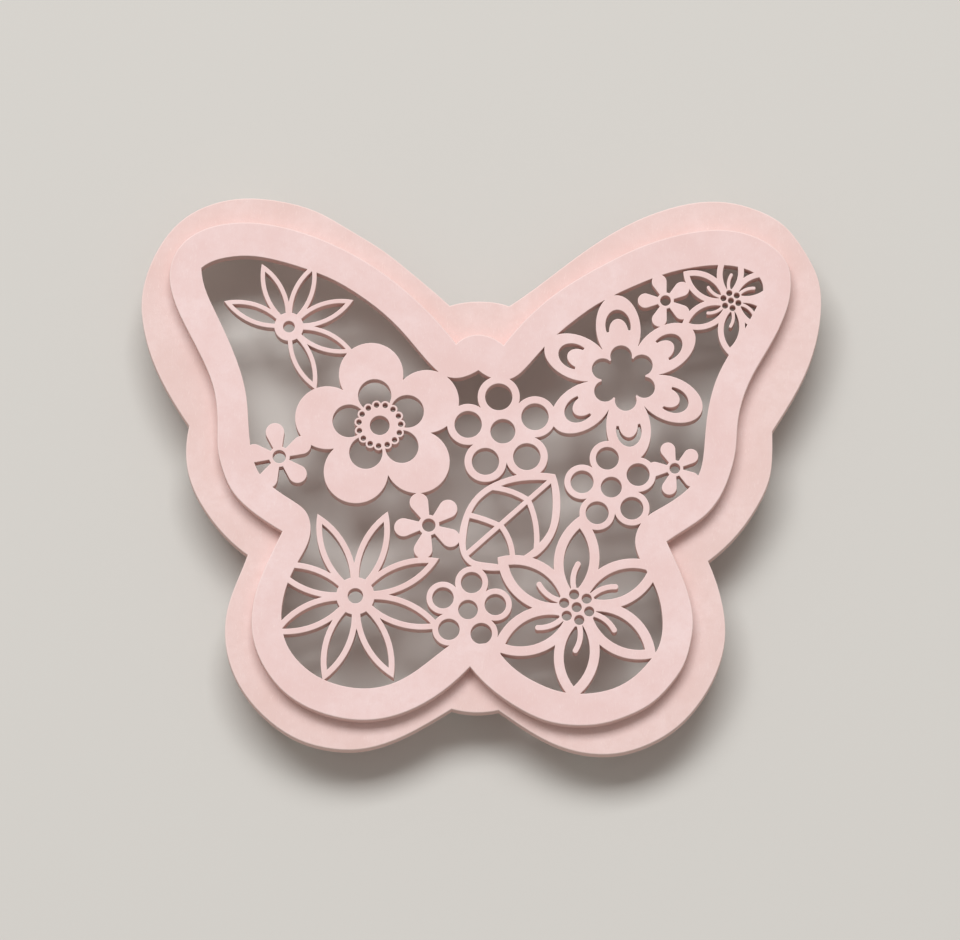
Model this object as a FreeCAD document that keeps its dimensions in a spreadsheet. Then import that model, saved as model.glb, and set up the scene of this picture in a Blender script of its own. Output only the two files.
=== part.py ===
# Layered card butterfly: a smaller butterfly ring with a cut floral lattice, glued
# on a larger butterfly ring, held off the wall by foam pads. It lies face up:
# +X to the right wing, +Y to the wing tops, +Z out of the face. Millimetres.
import FreeCAD, Part
import math
import os

doc = FreeCAD.newDocument("LayeredButterfly")
ORIGIN = FreeCAD.Vector(0, 0, 0)
UP = FreeCAD.Vector(0, 0, 1)

# Driving sizes: alias, millimetres (counts and ratios are plain), meaning.
SIZES = [
    ("wing_span", 170.9, "width of the back layer; the whole drawing scales with it"),
    ("board_thickness", 4.0, "thickness of the card board of both layers"),
    ("opening_setback", 2.0, "the back layer's opening stands back from the front window"),
    ("pad_side", 7.0, "side of a square foam pad"),
    ("pad_height", 10.0, "thickness of a foam pad, the stand-off from the wall"),
    ("daisy_petals", 8, "petals of the lower daisy"),
    ("upper_daisy_petals", 6, "petals of the upper daisy, which leaves two places empty"),
    ("daisy_petal_step", 45, "turn from one daisy petal to the next, in degrees"),
    ("daisy_reach", 23.0, "daisy centre to petal tip"),
    ("daisy_petal_width", 7.1, "widest part of a daisy petal"),
    ("daisy_stroke", 1.5, "width of the card left round a daisy petal"),
    ("daisy_hub_radius", 4.8, "daisy hub"),
    ("daisy_eye_radius", 1.9, "hole in the daisy hub"),
    ("small_daisy_ratio", 0.765, "upper daisy against the lower one"),
    ("blossom_petals", 5, "petals of the blossom"),
    ("blossom_petal_radius", 8.1, "round petal of the five-petal blossom"),
    ("blossom_petal_place", 13.25, "blossom centre to petal centre"),
    ("blossom_hole_radius", 4.15, "round hole in a blossom petal"),
    ("blossom_hole_place", 7.75, "blossom centre to petal hole centre"),
    ("blossom_middle_radius", 10.5, "solid middle that joins the blossom's petals"),
    ("blossom_disc_radius", 4.8, "solid disc inside the beads"),
    ("blossom_eye_radius", 2.45, "hole in the blossom centre"),
    ("bead_count", 15, "beads round the blossom centre"),
    ("bead_ring_radius", 5.25, "blossom centre to bead centre"),
    ("bead_turn", -0.5, "direction of the first bead from the first petal, in degrees"),
    ("bead_radius", 1.17, "outside of a bead"),
    ("bead_hole_radius", 0.66, "hole in a bead"),
    ("primrose_petals", 5, "petals of a primrose"),
    ("primrose_reach", 8.7, "primrose centre to petal end"),
    ("primrose_petal_radius", 2.35, "round end of a primrose petal"),
    ("primrose_root_radius", 0.9, "narrow root of a primrose petal"),
    ("primrose_hub_radius", 2.65, "primrose hub"),
    ("primrose_eye_radius", 1.65, "hole in the primrose hub"),
    ("small_primrose_ratio", 0.8, "right-wing primroses against the left-wing ones"),
    ("anemone_petals", 6, "petals of the anemone, and lobes of its centre hole"),
    ("anemone_petal_place", 12.9, "anemone centre to petal centre"),
    ("anemone_petal_length", 17.0, "length of the oval anemone petal"),
    ("anemone_petal_width", 11.2, "width of the oval anemone petal"),
    ("anemone_middle_radius", 9.0, "solid middle that joins the anemone's petals"),
    ("crescent_place", 13.5, "anemone centre to the middle of the crescent's outer oval"),
    ("crescent_length", 8.2, "length of the crescent's outer oval"),
    ("crescent_width", 6.3, "width of the crescent's outer oval"),
    ("tongue_place", 12.0, "anemone centre to the middle of the tongue inside a crescent"),
    ("tongue_length", 6.6, "length of the oval tongue"),
    ("tongue_width", 4.8, "width of the oval tongue"),
    ("crescent_start", 12.4, "anemone centre to the horns of a crescent"),
    ("well_radius", 5.5, "round middle of the anemone's centre hole"),
    ("lobe_radius", 2.68, "lobe of the anemone's centre hole"),
    ("lobe_place", 5.69, "anemone centre to lobe centre"),
    ("berry_count", 5, "berries of a cluster"),
    ("berry_radius", 5.3, "outside of a berry ring"),
    ("berry_hole_radius", 3.4, "hole of a berry ring"),
    ("berry_place", 8.85, "cluster centre to berry centre"),
    ("berry_core_radius", 6.3, "solid middle of a berry cluster"),
    ("berry_eye_radius", 3.1, "hole in the middle of a cluster"),
    ("right_berry_ratio", 0.84, "right cluster against the upper one"),
    ("low_berry_ratio", 0.783, "lower cluster against the upper one"),
    ("lily_petals", 6, "petals, stamens and outer small holes of a lily"),
    ("lily_hole_start", 3.6, "lily centre to the near end of a petal hole"),
    ("lily_hole_reach", 20.1, "lily centre to the tip of a petal hole"),
    ("lily_hole_width", 6.4, "widest part of a lily petal hole"),
    ("lily_stroke", 2.5, "width of the card round a lily petal hole"),
    ("lily_petal_skew", 3.3, "turn of a lily petal about its tip, in degrees"),
    ("lily_hub_radius", 4.95, "lily hub"),
    ("lily_dot_radius", 1.24, "small round holes in the lily hub"),
    ("lily_dot_place", 3.3, "lily centre to the outer small holes"),
    ("lily_dot_turn", 13.3, "direction of the first outer hole from the first petal, in degrees"),
    ("stamen_width", 1.4, "width of a stamen"),
    ("small_lily_ratio", 0.6, "upper lily against the lower one"),
    ("midrib_width", 1.3, "middle vein of the leaf"),
    ("vein_width", 1.4, "side veins of the leaf"),
    ("smallest_hole", 0.3, "a gap between motifs with less area, in mm2, is left uncut"),
]

sheet = doc.addObject("Spreadsheet::Sheet", "Sizes")
for row, (alias, value, meaning) in enumerate(SIZES, start=1):
    sheet.set(f"A{row}", meaning)
    sheet.set(f"B{row}", str(value))
    sheet.setAlias(f"B{row}", alias)
doc.recompute()


def size(alias):
    """Value of one driving size, read from the sheet."""
    return float(getattr(sheet, alias))


def number(alias):
    """A count from the sheet."""
    return int(getattr(sheet, alias))


# Drawn outlines, in mm as drawn, measured on the photograph. Each stretch is a smooth
# curve from its first point, a sharp corner, to the first point of the next stretch.
BACK_OUTLINE = [
    # left wing, over the top and down to its side corner
    [(-8.1, 43.5), (-11.6, 46.7), (-17.9, 52.1), (-25.4, 58.1), (-32.9, 62.8), (-41.6, 67.8),
     (-50.4, 70.4), (-59.1, 71.2), (-67.9, 69.7), (-75.4, 65.6), (-80.9, 59.0), (-84.4, 50.9),
     (-85.5, 44.5), (-85.0, 38.2), (-83.0, 30.5), (-79.6, 22.8)],
    # left side, down to the waist
    [(-73.4, 12.6), (-74.1, 7.5), (-73.9, 2.4), (-72.0, -4.0), (-68.6, -10.0), (-64.2, -15.5)],
    # lower left wing, round to the tail
    [(-58.6, -20.4), (-61.2, -27.0), (-63.6, -34.2), (-64.2, -40.3), (-63.1, -47.5),
     (-59.4, -55.4), (-52.9, -62.7), (-45.4, -67.5), (-37.9, -69.6), (-30.4, -69.8),
     (-22.9, -67.9), (-15.4, -64.3)],
    # tail
    [(-7.6, -59.6), (-1.9, -60.5)],
    # lower right wing, round to the waist
    [(4.1, -59.9), (10.9, -64.6), (18.4, -68.7), (25.9, -70.8), (33.4, -70.9), (40.9, -68.8),
     (48.4, -64.3), (54.6, -57.4), (58.9, -49.2), (60.7, -41.1), (60.2, -33.9), (58.6, -27.5)],
    # right side, up to its corner
    [(56.5, -22.0), (63.6, -15.4), (68.9, -7.8), (72.1, -0.2), (72.7, 5.7)],
    # right wing, over the top to the head
    [(72.7, 11.2), (77.5, 19.0), (81.4, 26.7), (83.9, 34.3), (85.1, 42.0), (84.6, 49.7),
     (81.2, 57.3), (75.1, 64.9), (69.1, 68.2), (62.1, 70.1), (54.6, 70.2), (47.1, 68.6),
     (39.6, 65.8), (32.1, 61.8), (24.6, 56.7), (17.1, 50.9)],
    # head
    [(6.8, 43.4), (3.4, 44.3), (-0.1, 44.6), (-4.1, 44.4)],
]

FRONT_OUTLINE = [
    # left wing, over the top and down to the waist
    [(-6.5, 32.8), (-10.4, 37.7), (-17.9, 45.3), (-25.4, 51.4), (-32.9, 56.1), (-40.4, 59.7),
     (-47.9, 62.3), (-55.4, 63.8), (-62.9, 63.9), (-70.4, 62.0), (-74.9, 58.9), (-77.6, 54.7),
     (-78.4, 50.1), (-77.6, 45.2), (-73.1, 35.0), (-69.9, 28.6), (-67.4, 22.2), (-66.4, 16.6),
     (-66.2, 10.5), (-66.1, 5.9), (-65.0, 1.0), (-62.4, -4.9), (-57.9, -9.7)],
    # lower left wing, round to the tail
    [(-49.9, -15.2), (-52.4, -20.4), (-54.9, -26.1), (-56.6, -31.2), (-57.4, -36.3),
     (-57.3, -41.1), (-55.9, -46.3), (-52.5, -52.4), (-48.6, -56.6), (-41.6, -60.7),
     (-34.1, -62.8), (-26.6, -63.0), (-19.1, -61.1), (-11.6, -57.1)],
    # lower right wing, round to the waist
    [(-3.0, -49.6), (0.6, -53.7), (4.6, -57.1), (9.6, -60.4), (15.9, -63.3), (23.4, -64.5),
     (29.6, -64.1), (35.9, -62.2), (42.1, -58.9), (47.1, -53.9), (50.2, -49.2), (52.0, -43.4),
     (52.6, -38.1), (51.8, -32.5), (49.9, -26.6)],
    # right wing, up and over the top to the head
    [(46.1, -17.8), (50.9, -14.6), (55.9, -10.9), (59.6, -6.1), (62.1, -0.1), (63.5, 6.1),
     (63.9, 11.8), (65.2, 18.4), (68.1, 25.4), (71.8, 31.8), (75.1, 38.3), (76.9, 43.4),
     (77.5, 48.0), (76.8, 52.9), (73.9, 57.0), (68.9, 60.2), (62.1, 62.0), (55.1, 61.9),
     (47.6, 60.4), (39.6, 57.7), (31.6, 53.8), (23.4, 49.1), (15.9, 43.7), (9.6, 37.6)],
    # head
    [(5.4, 32.5), (1.4, 34.8), (-0.9, 35.2), (-3.4, 34.8)],
]

WINDOW_OUTLINE = [
    # top edge of the left wing, to the peak under the head
    [(-70.4, 52.3), (-67.6, 54.0), (-63.4, 55.1), (-58.4, 55.4), (-51.6, 54.3), (-44.6, 52.2),
     (-37.4, 49.3), (-30.9, 45.4), (-24.9, 40.8), (-18.9, 34.7), (-11.9, 26.5), (-9.4, 24.6),
     (-6.4, 24.0), (-3.4, 24.7)],
    # right wing and lower right wing, down to the tail
    [(-0.9, 26.0), (1.1, 24.6), (4.1, 23.6), (7.4, 23.9), (10.9, 26.6), (16.6, 33.1),
     (22.1, 38.0), (29.6, 43.4), (37.6, 47.4), (46.4, 50.9), (54.1, 52.6), (60.6, 53.0),
     (66.4, 51.9), (69.6, 49.8), (70.5, 46.8), (68.9, 42.4), (65.9, 36.7), (60.9, 28.4),
     (58.4, 23.0), (56.8, 17.1), (55.9, 10.7), (55.4, 4.6), (53.9, -1.2), (50.1, -5.5),
     (45.1, -8.9), (41.1, -11.5), (38.8, -14.8), (38.2, -17.9), (38.9, -21.1), (42.8, -28.5),
     (44.5, -33.7), (45.0, -38.6), (43.9, -44.7), (41.1, -48.9), (37.4, -52.5), (32.4, -55.2),
     (26.1, -56.4), (19.9, -56.0), (14.1, -53.9), (9.1, -50.9)],
    # tail, up to its cusp
    [(4.6, -46.4), (3.4, -43.6), (-1.4, -43.8)],
    [(-3.8, -41.5)],
    # lower left wing, waist and left wing
    [(-8.7, -44.6), (-12.9, -47.9), (-17.9, -51.6), (-24.1, -54.4), (-29.9, -55.1),
     (-35.4, -54.3), (-41.1, -52.0), (-45.2, -48.8), (-48.4, -44.5), (-49.9, -39.4),
     (-49.9, -34.2), (-48.4, -28.1), (-45.5, -22.1), (-43.4, -17.9), (-42.8, -14.1),
     (-44.1, -10.0), (-47.4, -7.3), (-51.9, -4.2), (-55.4, -0.8), (-57.6, 4.9), (-58.4, 11.8),
     (-59.0, 19.4), (-60.5, 25.8), (-63.4, 33.5), (-66.9, 41.1), (-69.2, 46.3)],
]

LEAF_OUTLINE = [
    [(18.3, -0.6), (19.3, -4.3), (19.6, -8.2), (19.2, -12.5), (17.8, -16.5)],
    [(13.6, -21.5)],
    [(4.6, -25.2), (0.1, -25.0), (-3.4, -23.5), (-5.3, -20.7), (-5.8, -17.1), (-5.0, -12.3),
     (-2.9, -7.7), (0.6, -4.1), (5.4, -1.7), (11.4, -0.3)],
]

LEAF_OPENING = [
    [(17.1, -2.2), (17.6, -6.6), (17.5, -10.7), (16.6, -14.8), (14.4, -18.0), (11.4, -20.7)],
    [(4.4, -23.7), (0.6, -23.1), (-2.9, -21.9), (-4.0, -19.4), (-3.9, -16.4), (-3.1, -11.8),
     (-1.1, -7.8), (2.1, -5.0), (5.9, -3.2), (10.1, -2.3)],
]

# Leaf veins: start, middle and end of each centre line.
MIDRIB = [(-4.4, -21.5), (17.9, -1.5)]
SIDE_VEINS = [
    [(-3.9, -10.9), (-0.4, -11.8), (4.5, -13.8)],
    [(2.6, -4.0), (6.6, -4.8), (11.1, -6.9)],
    [(4.5, -13.5), (6.6, -17.0), (7.6, -21.5)],
    [(11.4, -6.9), (13.3, -12.8), (13.4, -20.6)],
]

# Lily stamen, with its petal along +X: start, middle and end of its centre line.
STAMEN = [(3.9, 0.6), (8.2, 1.1), (11.0, 0.1)]

# Motif places on the drawing: centre x, centre y and the turn of the first petal in degrees.
LOWER_DAISY = (-31.6, -31.6, 24.5)
UPPER_DAISY = (-48.4, 37.2, -67.0)
BLOSSOM = (-25.6, 11.9, 27.5)
LEFT_PRIMROSES = [(-50.7, 3.9, 28.0), (-13.3, -13.6, 41.0)]
RIGHT_PRIMROSES = [(46.0, 43.9, 36.0), (48.2, 0.9, 38.0)]
ANEMONE = (35.4, 24.0, 35.6)
UPPER_BERRIES = (5.2, 10.4, 24.6)
RIGHT_BERRIES = (32.3, -3.9, 25.5)
LOWER_BERRIES = (-3.5, -35.1, 10.5)
LOWER_LILY = (23.6, -34.5, 27.7)
UPPER_LILY = (62.4, 43.9, 28.5)

# Foam pads under the back layer: centre x, centre y.
PAD_PLACES = [
    (-58.0, 64.3), (-76.5, 37.0), (-67.0, 6.0), (-58.0, -39.0), (-43.0, -61.0), (-6.0, -54.0),
    (25.5, -64.0), (53.5, -42.0), (63.0, -2.5), (78.5, 45.0), (56.0, 62.5), (-1.0, 36.0),
]


def point(x, y):
    """Point of the flat drawing."""
    return FreeCAD.Vector(x, y, 0)


def polar(radius, degrees):
    """Point of the flat drawing at a distance and a direction from its origin."""
    turn = math.radians(degrees)
    return point(radius * math.cos(turn), radius * math.sin(turn))


def flat_face(edges):
    """Face inside a closed loop of edges, looking up."""
    face = Part.Face(Part.Wire(edges))
    if face.normalAt(0, 0).z < 0:
        face.reverse()
    return face


def outline_face(stretches):
    """Face inside a closed outline of smooth stretches that meet in corners."""
    edges = []
    for stretch, following in zip(stretches, stretches[1:] + stretches[:1]):
        points = [point(x, y) for x, y in stretch + following[:1]]
        if len(points) == 2:
            edges.append(Part.LineSegment(*points).toShape())
        else:
            spline = Part.BSplineCurve()
            spline.interpolate(points)
            edges.append(spline.toShape())
    return flat_face(edges)


def disc(radius, centre=ORIGIN):
    """Round face."""
    return flat_face([Part.makeCircle(radius, centre)])


def oval(middle, length, width):
    """Elliptical face with its long axis on X, centred at x = middle."""
    curve = Part.Ellipse(point(middle, 0), length / 2, width / 2)
    return flat_face([curve.toShape()])


def lens(start, end, width, grow=0.0):
    """Pointed petal on the X axis between two arcs; grow moves both arcs outwards."""
    middle = (start + end) / 2
    half_length = (end - start) / 2
    radius = (half_length ** 2 + (width / 2) ** 2) / width
    arc_centre = radius - width / 2
    half_width = width / 2 + grow
    half_length = math.sqrt((radius + grow) ** 2 - arc_centre ** 2)
    tips = [point(middle - half_length, 0), point(middle + half_length, 0)]
    upper = Part.Arc(tips[0], point(middle, half_width), tips[1]).toShape()
    lower = Part.Arc(tips[1], point(middle, -half_width), tips[0]).toShape()
    return flat_face([upper, lower])


def drop(near_radius, near, far_radius, far):
    """Teardrop on the X axis: two round ends at x = near and x = far joined by tangents."""
    lean = math.degrees(math.acos((near_radius - far_radius) / (far - near)))
    corners = []
    for radius, place in ((near_radius, near), (far_radius, far)):
        touch = polar(radius, lean)
        corners.append((point(place, 0) + touch, point(place, 0) + point(touch.x, -touch.y)))
    (near_top, near_low), (far_top, far_low) = corners
    edges = [
        Part.LineSegment(near_top, far_top).toShape(),
        Part.Arc(far_top, point(far + far_radius, 0), far_low).toShape(),
        Part.LineSegment(far_low, near_low).toShape(),
        Part.Arc(near_low, point(near - near_radius, 0), near_top).toShape(),
    ]
    return flat_face(edges)


def strip(start, end, width):
    """Straight band of card between two points."""
    across = (end - start).cross(UP).normalize() * (width / 2)
    corners = [start + across, end + across, end - across, start - across, start + across]
    return flat_face(Part.makePolygon(corners).Edges)


def band(start, middle, end, width):
    """Curved band of card along an arc, flat at its start and round at its end."""
    arc = Part.Arc(start, middle, end).toShape().Curve
    centre = arc.Center

    def beside(place, offset):
        return centre + (place - centre).normalize() * (arc.Radius + offset)

    ahead = (end - centre).cross(UP).normalize() * (width / 2)
    if ahead.dot(end - middle) < 0:
        ahead = -ahead
    half = width / 2
    edges = [
        Part.Arc(beside(start, -half), beside(middle, -half), beside(end, -half)).toShape(),
        Part.Arc(beside(end, -half), end + ahead, beside(end, half)).toShape(),
        Part.Arc(beside(end, half), beside(middle, half), beside(start, half)).toShape(),
        Part.LineSegment(beside(start, half), beside(start, -half)).toShape(),
    ]
    return flat_face(edges)


def union(shapes):
    """One face from flat shapes that overlap."""
    faces = [face for shape in shapes for face in shape.Faces]
    return Part.makeShell(faces[0].fuse(faces[1:]).Faces).removeSplitter()


def around(face, count, step=None):
    """Copies of a face turned about the origin."""
    step = 360.0 / count if step is None else step
    copies = []
    for index in range(count):
        copy = face.copy()
        copy.rotate(ORIGIN, UP, index * step)
        copies.append(copy)
    return copies


# Each motif is drawn round the origin with its first petal along +X, as two lists of
# faces: the card it adds and the holes cut through it.


def daisy(petals):
    """Open pointed petals round a hub with an eye."""
    step = size("daisy_petal_step")
    petal = lens(0, size("daisy_reach"), size("daisy_petal_width"))
    opening = lens(0, size("daisy_reach"), size("daisy_petal_width"),
                   grow=-size("daisy_stroke"))
    hub = disc(size("daisy_hub_radius"))
    card = around(petal, petals, step) + [hub]
    holes = around(opening.cut(hub), petals, step) + [disc(size("daisy_eye_radius"))]
    return card, holes


def blossom():
    """Five round petals with round holes, behind a ring of pierced beads."""
    petal = disc(size("blossom_petal_radius"), point(size("blossom_petal_place"), 0))
    opening = disc(size("blossom_hole_radius"), point(size("blossom_hole_place"), 0))
    bead_place = polar(size("bead_ring_radius"), size("bead_turn"))
    beads = around(disc(size("bead_radius"), bead_place), number("bead_count"))
    petals = number("blossom_petals")
    middle = [disc(size("blossom_disc_radius"))] + beads
    card = around(petal, petals) + [disc(size("blossom_middle_radius"))] + beads
    holes = around(opening.cut(middle), petals) + [disc(size("blossom_eye_radius"))]
    holes += around(disc(size("bead_hole_radius"), bead_place), number("bead_count"))
    return card, holes


def primrose():
    """Five solid teardrop petals round a hub with an eye."""
    end_radius = size("primrose_petal_radius")
    root_radius = size("primrose_root_radius")
    petal = drop(root_radius, size("primrose_hub_radius") - root_radius,
                 end_radius, size("primrose_reach") - end_radius)
    card = around(petal, number("primrose_petals")) + [disc(size("primrose_hub_radius"))]
    return card, [disc(size("primrose_eye_radius"))]


def anemone():
    """Six oval petals with crescent holes round a six-lobed centre hole."""
    petal = oval(size("anemone_petal_place"), size("anemone_petal_length"),
                 size("anemone_petal_width"))
    outside = oval(size("crescent_place"), size("crescent_length"), size("crescent_width"))
    tongue = oval(size("tongue_place"), size("tongue_length"), size("tongue_width"))
    crescent = outside.cut([tongue, disc(size("crescent_start"))])
    lobe = disc(size("lobe_radius"), point(size("lobe_place"), 0))
    petals = number("anemone_petals")
    card = around(petal, petals) + [disc(size("anemone_middle_radius"))]
    holes = around(crescent, petals) + around(lobe, petals) + [disc(size("well_radius"))]
    return card, holes


def berries():
    """Five rings round a pierced core."""
    place = point(size("berry_place"), 0)
    rings = number("berry_count")
    card = around(disc(size("berry_radius"), place), rings)
    holes = around(disc(size("berry_hole_radius"), place), rings)
    return card + [disc(size("berry_core_radius"))], holes + [disc(size("berry_eye_radius"))]


def lily():
    """Six open pointed petals with a stamen in each, round a hub with seven dots."""
    start = size("lily_hole_start")
    reach = size("lily_hole_reach")
    width = size("lily_hole_width")
    petal = lens(start, reach, width, grow=size("lily_stroke"))
    opening = lens(start, reach, width)
    for shape in (petal, opening):
        shape.rotate(point(reach, 0), UP, -size("lily_petal_skew"))
    stamen = band(*[point(x, y) for x, y in STAMEN], size("stamen_width"))
    hub = disc(size("lily_hub_radius"))
    dot = disc(size("lily_dot_radius"), polar(size("lily_dot_place"), size("lily_dot_turn")))
    petals = number("lily_petals")
    holes = around(opening.cut([hub, stamen]), petals) + around(dot, petals)
    return around(petal, petals) + [hub], holes + [disc(size("lily_dot_radius"))]


def leaf():
    """Pointed leaf: an open outline with a midrib and four side veins."""
    card = outline_face(LEAF_OUTLINE).cut(outline_face(LEAF_OPENING)).Faces
    start, end = [point(x, y) for x, y in MIDRIB]
    card.append(strip(start, end, size("midrib_width")))
    for vein in SIDE_VEINS:
        card.append(band(*[point(x, y) for x, y in vein], size("vein_width")))
    return card, []


def placed(motif, place, ratio=1.0):
    """Card and holes of a motif, scaled, turned and moved to its place."""
    x, y, turn = place
    moved = []
    for faces in motif:
        copies = [face.copy() for face in faces]
        for copy in copies:
            copy.scale(ratio, ORIGIN)
            copy.rotate(ORIGIN, UP, turn)
            copy.translate(point(x, y))
        moved.append(copies)
    return moved


def without_pinholes(drawn):
    """The drawing with the gaps too small to cut filled in."""
    gaps = []
    for face in drawn.Faces:
        for wire in face.Wires:
            inside = flat_face(wire.Edges)
            if inside.Area < size("smallest_hole"):
                gaps.append(inside)
    return union([drawn] + gaps)


def one_face(drawn, name):
    """The only face of a drawing that has to be in one piece."""
    if len(drawn.Faces) != 1:
        raise RuntimeError(f"{name} is drawn in {len(drawn.Faces)} pieces")
    return drawn.Faces[0]


def front_drawing():
    """Front layer as one flat face: the ring and the lattice that fills its window."""
    motifs = [
        leaf(),
        placed(daisy(number("daisy_petals")), LOWER_DAISY),
        placed(daisy(number("upper_daisy_petals")), UPPER_DAISY, size("small_daisy_ratio")),
        placed(blossom(), BLOSSOM),
        placed(anemone(), ANEMONE),
        placed(berries(), UPPER_BERRIES),
        placed(berries(), RIGHT_BERRIES, size("right_berry_ratio")),
        placed(berries(), LOWER_BERRIES, size("low_berry_ratio")),
        placed(lily(), LOWER_LILY),
        placed(lily(), UPPER_LILY, size("small_lily_ratio")),
    ]
    motifs += [placed(primrose(), place) for place in LEFT_PRIMROSES]
    motifs += [placed(primrose(), place, size("small_primrose_ratio"))
               for place in RIGHT_PRIMROSES]
    card = [face for motif_card, _ in motifs for face in motif_card]
    holes = [face for _, motif_holes in motifs for face in motif_holes]
    lattice = union(card).cut(holes)
    ring = outline_face(FRONT_OUTLINE).cut(outline_face(WINDOW_OUTLINE))
    return one_face(without_pinholes(union([ring, lattice])), "front layer")


def set_back(stretches, distance):
    """Clockwise outline with each point moved outwards, square to the line past it."""
    chain = [point(x, y) for stretch in stretches for x, y in stretch]
    moved = []
    for index, here in enumerate(chain):
        along = chain[(index + 1) % len(chain)] - chain[index - 1]
        outwards = point(-along.y, along.x).normalize()
        there = here + outwards * distance
        moved.append((there.x, there.y))
    places = iter(moved)
    return [[next(places) for _ in stretch] for stretch in stretches]


def back_drawing():
    """Back layer as one flat face: its opening stands back from the front window."""
    opening = outline_face(set_back(WINDOW_OUTLINE, size("opening_setback")))
    return one_face(outline_face(BACK_OUTLINE).cut(opening), "back layer")


def drawing(label, shape):
    """Flat drawing kept in the document."""
    feature = doc.addObject("Part::Feature", label)
    feature.Shape = shape
    return feature


def board(label, flat, level):
    """One layer of card board: a drawing thickened upwards from its level."""
    layer = doc.addObject("Part::Extrusion", label)
    layer.Base = flat
    layer.DirMode = "Custom"
    layer.Dir = UP
    layer.setExpression("LengthFwd", "Sizes.board_thickness")
    layer.setExpression("Placement.Base.z", level)
    return layer


def pad(label, x, y):
    """Square foam pad that stands on the wall and carries the back layer."""
    block = doc.addObject("Part::Box", label)
    block.setExpression("Length", "Sizes.pad_side")
    block.setExpression("Width", "Sizes.pad_side")
    block.setExpression("Height", "Sizes.pad_height")
    block.setExpression("Placement.Base.x", f"{x:.3f} - Sizes.pad_side / 2")
    block.setExpression("Placement.Base.y", f"{y:.3f} - Sizes.pad_side / 2")
    return block


back_shape = back_drawing()
front_shape = front_drawing()

# The drawing is scaled to the wing span and centred on the middle of the back layer.
drawn_box = back_shape.BoundBox
drawn_middle = drawn_box.Center
drawing_ratio = size("wing_span") / drawn_box.XLength
for shape in (back_shape, front_shape):
    shape.translate(-drawn_middle)
    shape.scale(drawing_ratio, ORIGIN)

back_flat = drawing("BackDrawing", back_shape)
front_flat = drawing("FrontDrawing", front_shape)
parts = [
    board("back_layer", back_flat, "Sizes.pad_height"),
    board("front_layer", front_flat, "Sizes.pad_height + Sizes.board_thickness"),
]
for index, (x, y) in enumerate(PAD_PLACES, start=1):
    place = (point(x, y) - drawn_middle) * drawing_ratio
    parts.append(pad(f"foam_pad_{index:02d}", place.x, place.y))
doc.recompute()

for item in doc.Objects:
    faults = {"Invalid", "Error"} & set(item.State)
    if faults:
        raise RuntimeError(f"{item.Label} is {faults}")
for part in parts:
    if part.Shape.isNull() or not part.Shape.isValid():
        raise RuntimeError(f"{part.Label} has no valid shape")

os.makedirs("parts", exist_ok=True)
for part in parts:
    part.Shape.exportStep(f"parts/{part.Label}.step")
    box = part.Shape.BoundBox
    print(f"{part.Label}: {len(part.Shape.Solids)} solid, volume {part.Shape.Volume:.1f} mm3, "
          f"x {box.XMin:.2f} to {box.XMax:.2f}, y {box.YMin:.2f} to {box.YMax:.2f}, "
          f"z {box.ZMin:.2f} to {box.ZMax:.2f}")
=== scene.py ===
# %% [markdown]
# # A butterfly cut from two layers of card
# The real object is two sheets of stiff pink card board. The upper one is a butterfly
# ring with a lattice of flowers cut through it, the lower one is a larger ring glued
# behind it, and small foam pads hold both off the wall. What this notebook adds to the
# CAD part is what a blade and paper leave behind: slightly rounded face edges, cut walls
# with a grain of plies, a face with tooth and fibres, and soft foam.

# %% [markdown]
# ## The part
# Every outline already exists in the CAD part, at its real size and in metres. Drawing
# them again by hand could only move them, so all shapes below are worked out from the
# loaded nodes. The box of a node is read from its points where it is needed.

# %% Load the part and keep its size
import math

import bpy
import numpy as np
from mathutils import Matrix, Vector


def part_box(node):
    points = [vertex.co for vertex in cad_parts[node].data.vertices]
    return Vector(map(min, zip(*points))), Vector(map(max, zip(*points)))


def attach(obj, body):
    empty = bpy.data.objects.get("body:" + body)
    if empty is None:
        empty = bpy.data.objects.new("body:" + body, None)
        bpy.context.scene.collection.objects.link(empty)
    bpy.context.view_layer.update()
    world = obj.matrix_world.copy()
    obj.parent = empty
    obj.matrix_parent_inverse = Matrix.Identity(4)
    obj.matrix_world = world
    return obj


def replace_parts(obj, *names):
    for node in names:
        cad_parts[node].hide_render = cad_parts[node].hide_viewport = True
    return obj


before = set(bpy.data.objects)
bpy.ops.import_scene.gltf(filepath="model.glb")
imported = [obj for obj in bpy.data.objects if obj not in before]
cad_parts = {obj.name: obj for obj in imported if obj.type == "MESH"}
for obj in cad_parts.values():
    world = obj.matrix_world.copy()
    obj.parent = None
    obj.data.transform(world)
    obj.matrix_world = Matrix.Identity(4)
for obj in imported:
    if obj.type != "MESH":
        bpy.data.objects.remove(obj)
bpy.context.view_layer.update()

MM = 0.001

# %% [markdown]
# ## Colours
# Paper colours are written as sRGB hex codes, as an eye or a colour picker reads them,
# but shaders add up light, which is linear. The codes could be turned by hand and pasted
# in as decimals, which nobody can read, so one function turns them where they are used.


# %% Hex codes to linear light
def linear(code):
    """sRGB hex to linear RGBA: c / 12.92 in the dark, else ((c + 0.055) / 1.055) ^ 2.4."""
    c = np.array([int(code[i:i + 2], 16) for i in (1, 3, 5)]) / 255
    light = np.where(c <= 0.04045, c / 12.92, ((c + 0.055) / 1.055) ** 2.4)
    return (*light.tolist(), 1.0)


print("a card pink in linear light:", linear("#F0D7D6"))

# %% [markdown]
# ## Nodes
# A material is a graph of nodes. Made one property at a time it fills pages, so one
# small function adds a node with its settings and links, and gives back the output that
# the next node reads. A Mix node keeps its colours behind its numbers and vectors under
# names that aren't unique, so they are found by their places.

# %% Adding nodes
MIX_UNDER = 6
MIX_OVER = 7
MIX_COLOUR = 2


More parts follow.
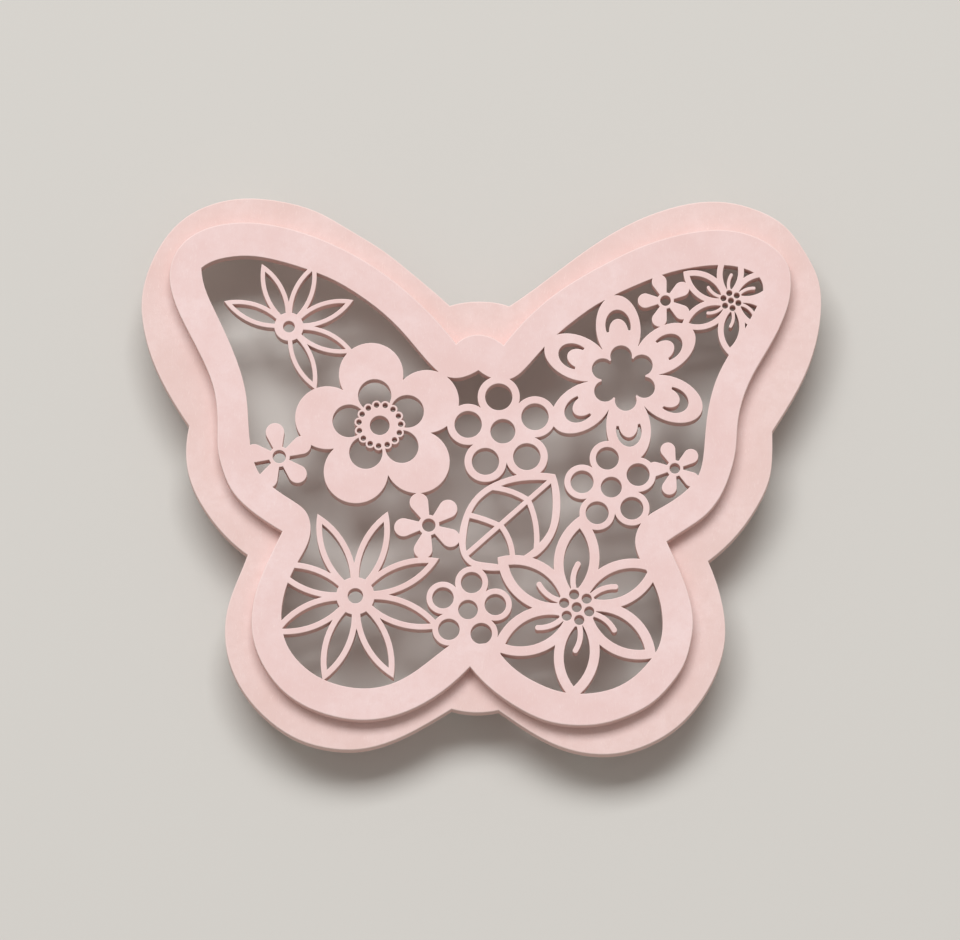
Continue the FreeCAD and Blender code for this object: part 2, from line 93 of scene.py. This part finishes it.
def empty_material(name):
    """New material with no node in its tree."""
    material = bpy.data.materials.new(name)
    material.use_nodes = True
    material.node_tree.nodes.clear()
    return material


def add(tree, kind, inputs=None, out=0, **settings):
    """Add a shader node and return its output called out, or its first one.

    Settings are the node's properties, inputs are values or outputs of other nodes."""
    made = tree.nodes.new("ShaderNode" + kind)
    for name, value in settings.items():
        setattr(made, name, value)
    for name, value in (inputs or {}).items():
        if isinstance(value, bpy.types.NodeSocket):
            tree.links.new(value, made.inputs[name])
        else:
            made.inputs[name].default_value = value
    return made.outputs[out] if made.outputs else None


def per_mm(size_mm):
    """Texture scale for a feature of this size: features in a metre."""
    return 1 / (size_mm * MM)


print("texture scale of a 1 mm grain:", per_mm(1.0))

# %% [markdown]
# ## The grain of the card
# Pulp board is wet fibre pressed between felts. Close up it has faint clouds and mottles
# where the dye took unevenly, a fine tooth from the felts, short fibres that lie this
# way and that, and on a cut wall the plies that it was pressed from. A scanned texture
# would bring a file and would repeat. Noise on Object coordinates does neither, and its
# scale is a real size in millimetres. Tooth and fibres are drawn about twice as coarse
# as real, or they would be too fine to show.

# %% Noises of the board
CLOUD_MM = 16.0
MOTTLE_MM = 2.4
TOOTH_MM = 0.42
FIBRE_MM = 0.36
FIBRE_STRETCH = 5.0
FIBRE_TURNS = (math.radians(24), math.radians(-48))
PLY_MM = 0.35
PLY_SPREAD = 0.12


def board_grain(tree):
    """Outputs of the board's patterns by name, all on Object coordinates.

    Fibres are two noises, stretched and turned apart, of which the larger counts, and
    only their peaks are flecks. Plies are a noise that changes fast with height and
    slowly along the sheet. Cut and pressed are marks on faces of the mesh."""
    place = add(tree, "TexCoord", out="Object")
    clouds = add(tree, "TexNoise", {"Vector": place, "Scale": per_mm(CLOUD_MM),
                                    "Detail": 4.0, "Roughness": 0.6})
    mottles = add(tree, "TexNoise", {"Vector": place, "Scale": per_mm(MOTTLE_MM),
                                     "Detail": 5.0, "Roughness": 0.7})
    tooth = add(tree, "TexNoise", {"Vector": place, "Scale": per_mm(TOOTH_MM),
                                   "Detail": 3.0, "Roughness": 0.6})
    fibres = []
    for turn in FIBRE_TURNS:
        lie = add(tree, "Mapping", {"Vector": place, "Rotation": (0, 0, turn),
                                    "Scale": (1.0, 1 / FIBRE_STRETCH, 1.0)})
        fibres.append(add(tree, "TexNoise", {"Vector": lie, "Scale": per_mm(FIBRE_MM),
                                             "Detail": 2.0, "Distortion": 1.2}))
    most = add(tree, "Math", {0: fibres[0], 1: fibres[1]}, operation="MAXIMUM")
    flecks = add(tree, "MapRange", {"Value": most, "From Min": 0.62, "From Max": 0.76})
    flat = add(tree, "Mapping", {"Vector": place, "Scale": (PLY_SPREAD, PLY_SPREAD, 1.0)})
    plies = add(tree, "TexNoise", {"Vector": flat, "Scale": per_mm(PLY_MM), "Detail": 2.0})
    cut = add(tree, "Attribute", out="Fac", attribute_name="cut")
    pressed = add(tree, "Attribute", out="Fac", attribute_name="pressed")
    return {"clouds": clouds, "mottles": mottles, "tooth": tooth, "flecks": flecks,
            "plies": plies, "cut": cut, "pressed": pressed}


print("plies change", round(1 / PLY_SPREAD, 1), "times faster with height than along")

# %% [markdown]
# ## The dye of the card, and a painted highlight
# The board is dyed a pale pink. The dye is a little stronger in clouds and mottles, a
# bare fibre is paler, a cut wall shows darker open pulp, and every rounded face edge is
# tinted paler all round, which is a painted highlight. One flat colour would look like
# plastic. So the tint is built in layers, as a painter glazes: each goes over the last
# with a share that a pattern gives.

# %% Tint of the board
# pale tint of bare fibres, and the painted highlight on the rounded face edges
PALE_FIBRE_AND_HIGHLIGHT = "#FDEBE6"
FLECK_SHARE = 0.3
PAINTED_HIGHLIGHT_SHARE = 0.3
MOTTLE_SHARE = 0.7


def board_tint(tree, grain, face, cloud, wall):
    """Colour output: each layer is mixed over those before it by its own share.

    A share is its pattern from 0 to 1, times the most that the layer may cover."""
    clouds = add(tree, "MapRange", {"Value": grain["clouds"], "From Min": 0.35,
                                    "From Max": 0.68})
    mottles = add(tree, "MapRange", {"Value": grain["mottles"], "From Min": 0.42,
                                     "From Max": 0.72, "To Max": MOTTLE_SHARE})
    flecks = add(tree, "Math", {0: grain["flecks"], 1: FLECK_SHARE}, operation="MULTIPLY")
    # painted highlight: the rounded face edges, marked pressed, are tinted paler all round
    painted_highlight = add(tree, "Math", {0: grain["pressed"], 1: PAINTED_HIGHLIGHT_SHARE}, operation="MULTIPLY")
    plies = add(tree, "MapRange", {"Value": grain["plies"], "From Min": 0.35,
                                   "From Max": 0.65, "To Min": 0.6, "To Max": 1.0})
    walls = add(tree, "Math", {0: grain["cut"], 1: plies}, operation="MULTIPLY")
    colour = linear(face)
    for share, tint in ((clouds, cloud), (mottles, cloud), (flecks, PALE_FIBRE_AND_HIGHLIGHT),
                        (painted_highlight, PALE_FIBRE_AND_HIGHLIGHT), (walls, wall)):
        colour = add(tree, "Mix", {"Factor": share, MIX_UNDER: colour,
                                   MIX_OVER: linear(tint)},
                     out=MIX_COLOUR, data_type="RGBA")
    return colour


print("paler fibres and edges:", PALE_FIBRE_AND_HIGHLIGHT)

# %% [markdown]
# ## The feel of the card
# Pressed board is matt and dry, with a weak sheen from its fibres, and its surface is
# never quite flat. That relief is under a tenth of a millimetre deep on the face, and
# on a cut wall a little more. As real geometry it would take millions of faces, so it
# is bump: three heights, each laid on the one below. The index of refraction is near
# that of cellulose, and roughness follows the tooth.

# %% Relief and surface of the board
PLY_RELIEF = (0.5, 0.15 * MM)
FIBRE_RELIEF = (0.3, 0.05 * MM)
TOOTH_RELIEF = (0.35, 0.08 * MM)


def board_relief(tree, grain):
    """Normal output: plies on the cut walls, fibres over them and the tooth over both.

    Each relief is a strength and a depth, and its normal starts from the one below."""
    plies = add(tree, "Math", {0: grain["plies"], 1: grain["cut"]}, operation="MULTIPLY")
    below = {}
    for height, (strength, depth) in ((plies, PLY_RELIEF),
                                      (grain["flecks"], FIBRE_RELIEF),
                                      (grain["tooth"], TOOTH_RELIEF)):
        below["Normal"] = add(tree, "Bump", {"Height": height, "Strength": strength,
                                             "Distance": depth, **below})
    return below["Normal"]


def card_board(name, face, cloud, wall):
    """Dyed pulp board, pressed and blade cut: matt, dry and slightly uneven in tint."""
    material = empty_material(name)
    tree = material.node_tree
    grain = board_grain(tree)
    colour = board_tint(tree, grain, face, cloud, wall)
    rough = add(tree, "MapRange", {"Value": grain["tooth"], "To Min": 0.68, "To Max": 0.86})
    surface = add(tree, "BsdfPrincipled", {"Base Color": colour, "Roughness": rough,
                                           "IOR": 1.45, "Specular IOR Level": 0.35,
                                           "Sheen Weight": 0.06, "Sheen Roughness": 0.6,
                                           "Normal": board_relief(tree, grain)})
    add(tree, "OutputMaterial", {"Surface": surface})
    return material


front_board = card_board("blush pulp board, front",
                         face="#F0D7D6", cloud="#E9CAC7", wall="#DDBCB4")
# The back board is the front's board tinted a shade darker, which is painted shade on the
# lower layer.
back_board = card_board("blush pulp board, back",
                        face="#EDD4D1", cloud="#E5C8C3", wall="#DBB9B0")
print("materials:", front_board.name, "/", back_board.name)

# %% [markdown]
# ## The foam
# The pads are white closed-cell EVA, cut with a knife from double-sided foam tape. A
# knife opens the cells, and they show as small pits. Voronoi cells have that look: far
# from a cell's middle is the wall between two cells, which stands up and stays white,
# and towards a cell's middle the colour turns greyer, which is painted shade in the pits.
# A little light enters the foam and keeps its shaded sides pale, which is subsurface
# scattering over about a millimetre. The index of refraction is that of solid EVA.

# %% Foam material
CELL_MM = 0.5
CELL_DEPTH_MM = 0.15
LIGHT_REACH_MM = 1.2


def closed_cell_foam(name, body, painted_pit_shade):
    """White EVA foam, knife cut: matt, faintly translucent, covered with small pits."""
    material = empty_material(name)
    tree = material.node_tree
    place = add(tree, "TexCoord", out="Object")
    cells = add(tree, "TexVoronoi", {"Vector": place, "Scale": per_mm(CELL_MM)})
    height = add(tree, "MapRange", {"Value": cells, "From Max": 0.5})
    # painted shade: the pits are tinted greyer towards each cell's middle
    colour = add(tree, "Mix", {"Factor": height, MIX_UNDER: linear(painted_pit_shade),
                               MIX_OVER: linear(body)},
                 out=MIX_COLOUR, data_type="RGBA")
    bump = add(tree, "Bump", {"Height": height, "Strength": 0.6,
                              "Distance": CELL_DEPTH_MM * MM})
    surface = add(tree, "BsdfPrincipled", {"Base Color": colour, "Roughness": 0.85,
                                           "IOR": 1.48, "Specular IOR Level": 0.3,
                                           "Subsurface Weight": 0.3,
                                           "Subsurface Radius": (1.0, 1.0, 1.0),
                                           "Subsurface Scale": LIGHT_REACH_MM * MM,
                                           "Normal": bump})
    add(tree, "OutputMaterial", {"Surface": surface})
    return material


foam = closed_cell_foam("white EVA foam, knife cut", body="#F2F1EC", painted_pit_shade="#D9D7D0")
print("material:", foam.name)

# %% [markdown]
# ## From CAD triangles to a card outline
# The cutter follows closed outlines: one round the sheet and one for each hole. A CAD
# node arrives as loose triangles instead. Corners at the same place are made one point,
# and then the triangles of the top face tell the outlines: an edge that only one
# triangle uses lies on an outline, and runs with the card on its left. Walking from
# edge to edge would be slow in Python, so all edges are looked at together as arrays.

# %% Outline helpers
SAME_PLACE = 1e-6


def merged(cad_node):
    """Points and triangles of a node, with corners less than a micron apart made one."""
    mesh = cad_node.data
    points = np.empty(len(mesh.vertices) * 3, np.float32)
    mesh.vertices.foreach_get("co", points)
    points = points.reshape(-1, 3).astype(float)
    corners = np.empty(len(mesh.loops), np.int32)
    mesh.loops.foreach_get("vertex_index", corners)
    keys = np.round(points / SAME_PLACE).astype(np.int64)
    _, first, index = np.unique(keys, axis=0, return_index=True, return_inverse=True)
    return points[first], index.ravel()[corners].reshape(-1, 3)


def top_face(points, triangles):
    """Points of the top face as (x, y) pairs, and its triangles, numbered by them."""
    lowest = points[:, 2].max() - SAME_PLACE
    top = triangles[(points[triangles][:, :, 2] > lowest).all(axis=1)]
    used, index = np.unique(top, return_inverse=True)
    return points[used][:, :2], index.reshape(-1, 3)


def outline_edges(triangles, count):
    """Directed edges used by one triangle only, as arrays of start and end points."""
    start = triangles.ravel()
    end = np.roll(triangles, -1, axis=1).ravel()
    single = ~np.isin(start * count + end, end * count + start)
    return start[single], end[single]


def loop_labels(start, end, count):
    """Lowest point number of the loop each point lies on.

    Each round doubles how far along its loop a point has looked."""
    label = np.arange(count)
    ahead = np.arange(count)
    ahead[start] = end
    for _ in range(int(count).bit_length()):
        label = np.minimum(label, label[ahead])
        ahead = ahead[ahead]
    return label


front_points, front_cap = top_face(*merged(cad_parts["front_layer"]))
front_edges = outline_edges(front_cap, len(front_points))
labels = loop_labels(*front_edges, len(front_points))
print("front face:", len(front_points), "points on", len(np.unique(labels)), "loops")

# %% [markdown]
# ## Which way an edge leans
# A blade presses the face edge of card round as it goes in. To round it, the face has
# to draw back from the wall by the same distance everywhere. A Bevel modifier does that
# on simple shapes, but it can fold over itself in the narrow tips of this lattice. Here
# each point moves along the bisector of its two edges, a little further where they
# meet at an angle. Corners that turn by more than 32 degrees stay creases in the wall.

# %% Lean of the outline
SHARP_TURN = math.cos(math.radians(32))
LONGEST_LEAN = 2.2


def unit(vectors):
    """Vectors divided by their length; a vector of no length stays as it is."""
    return vectors / np.maximum(np.linalg.norm(vectors, axis=-1, keepdims=True), 1e-12)


def leaning(flat, start, end):
    """Lean of each point, and wall normals at the start and the end of each edge.

    For an edge along d the outward normal is n = (dy, -dx). Where two edges meet,
    their bisector is b = (n1 + n2) / |n1 + n2|, and the lean is b / (b . n2), which
    keeps the distance to both. The wall normal is b, or n at a corner that is sharp."""
    along = unit(flat[end] - flat[start])
    normal = np.stack([along[:, 1], -along[:, 0]], axis=1)
    arriving = np.zeros_like(flat)
    leaving = np.zeros_like(flat)
    arriving[end] = normal
    leaving[start] = normal
    bisector = unit(arriving + leaving)
    stretch = 1 / np.maximum((bisector * leaving).sum(axis=1), 1 / LONGEST_LEAN)
    sharp = (arriving * leaving).sum(axis=1) < SHARP_TURN
    at_start = np.where(sharp[start, None], normal, bisector[start])
    at_end = np.where(sharp[end, None], normal, bisector[end])
    return bisector * stretch[:, None], at_start, at_end


front_lean = leaning(front_points, *front_edges)[0]
print("longest lean, in insets:", np.linalg.norm(front_lean, axis=1).max())

# %% [markdown]
# ## How far the face draws back
# The outer edge of a sheet takes the most pressure and gets the larger round, and the
# edges of the lattice get a smaller one. In a tip that is narrower than two insets the
# face would turn inside out. Every triangle's area is watched for that: where one is no
# longer positive, the insets of its three points are halved, until none is left.

# %% Inset of the face
OUTER_ROUND_MM = 0.30
INNER_ROUND_MM = 0.20
MOST_HALVINGS = 8


def signed_area(flat, triangles):
    """Twice the area of each triangle, positive when it runs anticlockwise.

    It is the cross product of two sides: ux vy - uy vx."""
    corner = flat[triangles[:, 0]]
    u = flat[triangles[:, 1]] - corner
    v = flat[triangles[:, 2]] - corner
    return u[:, 0] * v[:, 1] - u[:, 1] * v[:, 0]


def edge_radius(flat, start, end):
    """Radius at each point: larger on the outer outline, the loop round all others."""
    label = loop_labels(start, end, len(flat))
    outer = label == label[flat[:, 0].argmin()]
    return np.where(outer, OUTER_ROUND_MM, INNER_ROUND_MM) * MM


def safe_inset(flat, triangles, lean, radius):
    """Inset of each point: its radius, halved where the face would fold over itself."""
    inset = radius.copy()
    for _ in range(MOST_HALVINGS):
        folded = signed_area(flat - lean * inset[:, None], triangles) <= 0
        if not folded.any():
            break
        inset[np.unique(triangles[folded])] *= 0.5
    return inset


print("face area in mm2:", signed_area(front_points, front_cap).sum() / 2 / MM ** 2)

# %% [markdown]
# ## Rings, faces and normals of a sheet
# A sheet is a profile carried along its outlines: a quarter circle from the face down
# to the wall, then the wall, and a sharp edge at the rear, where the card lay on the
# cutting mat. Each step of the profile is a ring of points with one point for each on
# the outline, so quads join a ring to the next. The normals are written too, because a
# round of four steps would show its facets, and smooth shading would blur the corners.

# %% Sheet from its outline
ROUND_STEPS = 4
ROUND_ANGLES = np.linspace(0, math.pi / 2, ROUND_STEPS + 1)


def sheet_points(flat, lean, inset, top, bottom):
    """Ring k has the angle t = 90 deg * k / steps, and stands in by r (1 - sin t) and
    down by r (1 - cos t). The last ring is the sharp rear edge, with no inset."""
    inward = np.append(1 - np.sin(ROUND_ANGLES), 0.0)[:, None, None]
    rings = flat - lean * inset[:, None] * inward
    drop = np.outer(1 - np.cos(ROUND_ANGLES), inset)
    height = np.concatenate([top - drop, np.full((1, len(flat)), bottom)])
    return np.concatenate([rings, height[..., None]], axis=2).reshape(-1, 3)


def sheet_faces(cap, start, end, count):
    """Rear triangles, which are the front ones turned over, and the quads between."""
    upper = np.arange(ROUND_STEPS + 1)[:, None] * count
    quads = np.stack([upper + count + start, upper + count + end, upper + end,
                      upper + start], axis=2).reshape(-1, 4)
    return cap[:, ::-1] + (ROUND_STEPS + 1) * count, quads


def sheet_normals(corners, at_start, at_end):
    """Normal of each face corner: up on the front, down on the rear, and on a ring
    with the angle t (w sin t, cos t), where w is the wall normal."""
    tilt = np.append(ROUND_ANGLES, math.pi / 2)[:, None, None]
    rise = np.broadcast_to(np.cos(tilt), (len(tilt), len(at_start), 1))
    first = np.concatenate([at_start * np.sin(tilt), rise], axis=2)
    last = np.concatenate([at_end * np.sin(tilt), rise], axis=2)
    around = np.stack([first[1:], last[1:], last[:-1], first[:-1]], axis=2)
    front = np.tile([0.0, 0.0, 1.0], (corners, 1))
    return np.concatenate([front, -front, around.reshape(-1, 3)])


print("angles of the round:", np.degrees(ROUND_ANGLES))

# %% [markdown]
# ## The two layers
# On the object both layers are the same board, and the front one is glued flat on the
# back one. Both could be one mesh, but they are two pieces on the bench and could then
# get no board of their own. Each piece replaces its CAD node and fills the same space.
# Its wall faces are marked "cut" and its rounds "pressed", so that one material can
# finish the knife's wall, paint a highlight on the edge and finish the face, each in its
# own way.


# %% Front and back card
def put_in_place(piece_name, mesh, material, cad_name):
    """Object of a finished mesh, which rides on the part in place of a CAD node."""
    mesh.materials.append(material)
    piece = bpy.data.objects.new(piece_name, mesh)
    bpy.context.scene.collection.objects.link(piece)
    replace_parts(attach(piece, "root"), cad_name)
    return piece


def card_sheet(name, cad_name, material):
    """Closed sheet in place of a CAD node, its face edges rounded by a quarter circle."""
    points, triangles = merged(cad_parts[cad_name])
    flat, cap = top_face(points, triangles)
    start, end = outline_edges(cap, len(flat))
    lean, at_start, at_end = leaning(flat, start, end)
    inset = safe_inset(flat, cap, lean, edge_radius(flat, start, end))
    places = sheet_points(flat, lean, inset, points[:, 2].max(), points[:, 2].min())
    rear, quads = sheet_faces(cap, start, end, len(flat))

    mesh = bpy.data.meshes.new(name)
    mesh.from_pydata(places.tolist(), [], cap.tolist() + rear.tolist() + quads.tolist())
    mesh.normals_split_custom_set(sheet_normals(cap.size, at_start, at_end).tolist())
    number = np.arange(len(mesh.polygons))
    walls = number >= len(number) - len(start)
    rounds = (number >= len(cap) + len(rear)) & ~walls
    # the pressed rounds carry the painted highlight of the board
    for label, faces in (("cut", walls), ("pressed", rounds)):
        marks = mesh.attributes.new(label, "FLOAT", "FACE")
        marks.data.foreach_set("value", faces.astype(np.float32))
    print(name, len(mesh.polygons), "faces, smallest inset in mm", inset.min() / MM)
    return put_in_place(name, mesh, material, cad_name)


front_card = card_sheet("front_card", "front_layer", front_board)
back_card = card_sheet("back_card", "back_layer", back_board)

# %% [markdown]
# ## Foam pads
# Each pad is two squares of foam tape stuck on each other. Cutting drags the soft walls
# in a little between their stiff skins, and the seam shows as a groove. A cube with a
# bevel would have neither. So the outline, a square with round corners, is carried up a
# profile that goes in at the seam and at mid-height of each layer. Steps lie closer
# together near the seam, where the profile turns fastest.

# %% Foam pads
PAD_CORNER = 8.0
PAD_SIDES = 48
WAIST_MM = 0.18
SEAM_MM = 0.25
SEAM_WIDTH = 0.02
LOWER_SHARES = np.array([0, 0.06, 0.15, 0.25, 0.35, 0.44, 0.485])
PAD_SHARES = np.concatenate([LOWER_SHARES, [0.5], 1 - LOWER_SHARES[::-1]])


def pad_points(low, high):
    """Rings of a superellipse |x|^p + |y|^p = a^p, one for each share h of the height.

    At h the half width a goes in by w sin^2(2 pi h) for the dragged walls, and by
    s exp(-((h - 1/2) / b)^2) for the seam."""
    middle = (low + high) / 2
    turn = np.arange(PAD_SIDES) * 2 * math.pi / PAD_SIDES
    powers = np.abs(np.cos(turn)) ** PAD_CORNER + np.abs(np.sin(turn)) ** PAD_CORNER
    waist = WAIST_MM * MM * np.sin(2 * math.pi * PAD_SHARES) ** 2
    groove = SEAM_MM * MM * np.exp(-((PAD_SHARES - 0.5) / SEAM_WIDTH) ** 2)
    half = (high[0] - low[0]) / 2 - waist - groove
    size = half[:, None] * powers ** (-1 / PAD_CORNER)
    height = np.broadcast_to((low[2] + PAD_SHARES * (high - low)[2])[:, None], size.shape)
    return np.stack([middle[0] + size * np.cos(turn), middle[1] + size * np.sin(turn),
                     height], axis=2).reshape(-1, 3)


def foam_block(name, cad_name):
    """Pad in place of a CAD node: quads from ring to ring and a flat lid at each end."""
    low, high = (np.array(corner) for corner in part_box(cad_name))
    here = np.arange(PAD_SIDES)
    after = (here + 1) % PAD_SIDES
    level = np.arange(len(PAD_SHARES) - 1)[:, None] * PAD_SIDES
    quads = np.stack([level + here, level + after, level + PAD_SIDES + after,
                      level + PAD_SIDES + here], axis=2).reshape(-1, 4)
    lids = [here[::-1].tolist(), (here + (len(PAD_SHARES) - 1) * PAD_SIDES).tolist()]
    mesh = bpy.data.meshes.new(name)
    mesh.from_pydata(pad_points(low, high).tolist(), [], quads.tolist() + lids)
    smooth = np.ones(len(mesh.polygons), bool)
    smooth[-len(lids):] = False
    mesh.polygons.foreach_set("use_smooth", smooth)
    return put_in_place(name, mesh, foam, cad_name)


pad_names = sorted(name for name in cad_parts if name.startswith("foam_pad"))
pads = [foam_block("soft_" + name, name) for name in pad_names]
print("pads:", len(pads), "faces each:", len(pads[0].data.polygons))

# %% [markdown]
# ## The floor
# The butterfly lies face up on its pads, as it would on a table. The floor is pale and
# matt, so that it takes the soft shadow and adds no gloss of its own. It is far larger
# than the part, because no edge of it should show in any view.

# %% Floor
FLOOR_HALF = 3.0

floor_paint = empty_material("pale studio floor")
floor_surface = add(floor_paint.node_tree, "BsdfPrincipled",
                    {"Base Color": linear("#D3D2CE"), "Roughness": 0.9,
                     "Specular IOR Level": 0.2})
add(floor_paint.node_tree, "OutputMaterial", {"Surface": floor_surface})

floor_corners = [(x * FLOOR_HALF, y * FLOOR_HALF, 0)
                 for x, y in ((-1, -1), (1, -1), (1, 1), (-1, 1))]
floor_mesh = bpy.data.meshes.new("floor")
floor_mesh.from_pydata(floor_corners, [], [(0, 1, 2, 3)])
floor_mesh.materials.append(floor_paint)
floor = bpy.data.objects.new("floor", floor_mesh)
bpy.context.scene.collection.objects.link(floor)
print("floor half width in m:", FLOOR_HALF)

# %% [markdown]
# ## The light
# Card this pale shows its relief only by its edges. One wide window, thirty degrees off
# the vertical and beyond the wing tops, brightens the upper edges and shades the lower
# ones. It stands five metres off, so that the whole butterfly gets the same light, and
# it is wide, so that shadows end softly. A dim warm sky fills them. A lamp straight
# above would leave both edges alike and flatten the lattice.

# %% Window and sky
AIM_MM = (-0.37, 0.42)
WINDOW_SLANT = math.radians(30)
WINDOW_LEFT = 0.1
WINDOW_DISTANCE = 5.0
WINDOW_SIZE = (4.2, 2.1)
WINDOW_WATTS = 219.0
SKY_STRENGTH = 0.36

face_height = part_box("front_layer")[1][2]
aim = Vector((AIM_MM[0] * MM, AIM_MM[1] * MM, face_height))


def aim_at_face(thing, direction, distance):
    """Put a lamp or camera this far from the face in a direction, turned to the face."""
    back = direction.normalized()
    thing.location = aim + back * distance
    thing.rotation_euler = (-back).to_track_quat("-Z", "Y").to_euler()
    bpy.context.scene.collection.objects.link(thing)


window_light = bpy.data.lights.new("window", "AREA")
window_light.shape = "RECTANGLE"
window_light.size, window_light.size_y = WINDOW_SIZE
window_light.energy = WINDOW_WATTS
window = bpy.data.objects.new("window", window_light)
towards_window = Vector((-WINDOW_LEFT, math.sin(WINDOW_SLANT), math.cos(WINDOW_SLANT)))
aim_at_face(window, towards_window, WINDOW_DISTANCE)

world = bpy.data.worlds.new("studio")
world.use_nodes = True
sky = world.node_tree.nodes["Background"]
sky.inputs["Color"].default_value = linear("#FBF2EB")
sky.inputs["Strength"].default_value = SKY_STRENGTH
bpy.context.scene.world = world
bpy.context.scene.view_settings.view_transform = "Standard"
print("window at", [round(c, 2) for c in window.location], "aimed at", list(aim))

# %% [markdown]
# ## The camera
# The picture is taken from almost straight above, tilted twelve degrees towards the
# tail, so the lower walls just show. A camera close by would also show walls on the
# left and right wings, so this one is three metres away with a long lens. The lens
# follows from the scale of the picture: so many pixels for a millimetre at that range.

# %% Camera
CAMERA_TILT = math.radians(12)
CAMERA_DISTANCE = 3.0
CAMERA_SIGHT = 20.0
PIXELS_PER_MM = 4.0
IMAGE_WIDTH = 960
SENSOR_MM = 36.0

camera_data = bpy.data.cameras.new("camera")
camera_data.sensor_width = SENSOR_MM
camera_data.lens = SENSOR_MM * PIXELS_PER_MM * CAMERA_DISTANCE / MM / IMAGE_WIDTH
camera_data.clip_end = CAMERA_SIGHT
camera = bpy.data.objects.new("camera", camera_data)
towards_camera = Vector((0, -math.sin(CAMERA_TILT), math.cos(CAMERA_TILT)))
aim_at_face(camera, towards_camera, CAMERA_DISTANCE)
bpy.context.scene.camera = camera
print("lens in mm:", camera_data.lens)
